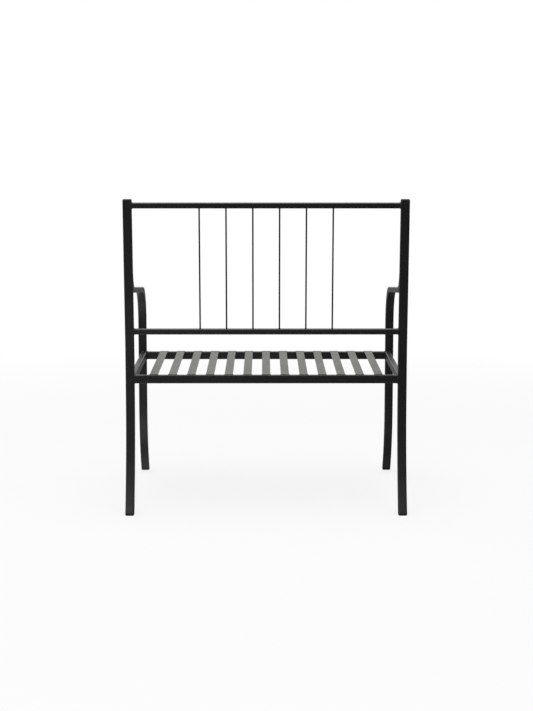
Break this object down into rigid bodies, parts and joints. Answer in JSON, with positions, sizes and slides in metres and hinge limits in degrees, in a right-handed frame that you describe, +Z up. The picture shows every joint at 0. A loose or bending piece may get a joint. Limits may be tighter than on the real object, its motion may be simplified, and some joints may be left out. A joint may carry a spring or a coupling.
{
  "type": "garden lounge chair",
  "caption": "Garden lounge chair of bent steel tube with curved feet, sloping arms, a seat of flat bars and a leaning back of thin round rods.",
  "frame": {"origin": "on the floor, at the centre of the bottom of the chair's bounding box", "axes": "+Z up, the chair's front faces -Y, +X is the sitter's left; the chair is symmetric left to right"},
  "size_m": [0.74, 0.6138, 0.8265],
  "materials": {
    "frame_coat": "black powder coat, fine satin texture",
    "plug_plastic": "moulded black plastic, matte"
  },
  "bodies": {
    "root": {"left_rear_post": "frame_coat", "right_rear_post": "frame_coat", "left_arm_and_front_leg": "frame_coat", "right_arm_and_front_leg": "frame_coat", "seat_rear_rail": "frame_coat", "seat_front_rail": "frame_coat", "seat_left_rail": "frame_coat", "seat_right_rail": "frame_coat", "seat_slat_01": "frame_coat", "seat_slat_02": "frame_coat", "seat_slat_03": "frame_coat", "seat_slat_04": "frame_coat", "seat_slat_05": "frame_coat", "seat_slat_06": "frame_coat", "seat_slat_07": "frame_coat", "seat_slat_08": "frame_coat", "seat_slat_09": "frame_coat", "seat_slat_10": "frame_coat", "seat_slat_11": "frame_coat", "seat_slat_12": "frame_coat", "seat_slat_13": "frame_coat", "back_top_rail": "frame_coat", "back_lower_rail": "frame_coat", "back_spindle_1": "frame_coat", "back_spindle_2": "frame_coat", "back_spindle_3": "frame_coat", "back_spindle_4": "frame_coat", "back_spindle_5": "frame_coat", "back_spindle_6": "frame_coat", "left_rear_foot_plug": "plug_plastic", "right_rear_foot_plug": "plug_plastic", "left_front_foot_plug": "plug_plastic", "right_front_foot_plug": "plug_plastic", "left_post_cap": "plug_plastic", "right_post_cap": "plug_plastic"}
  },
  "joints": []
}
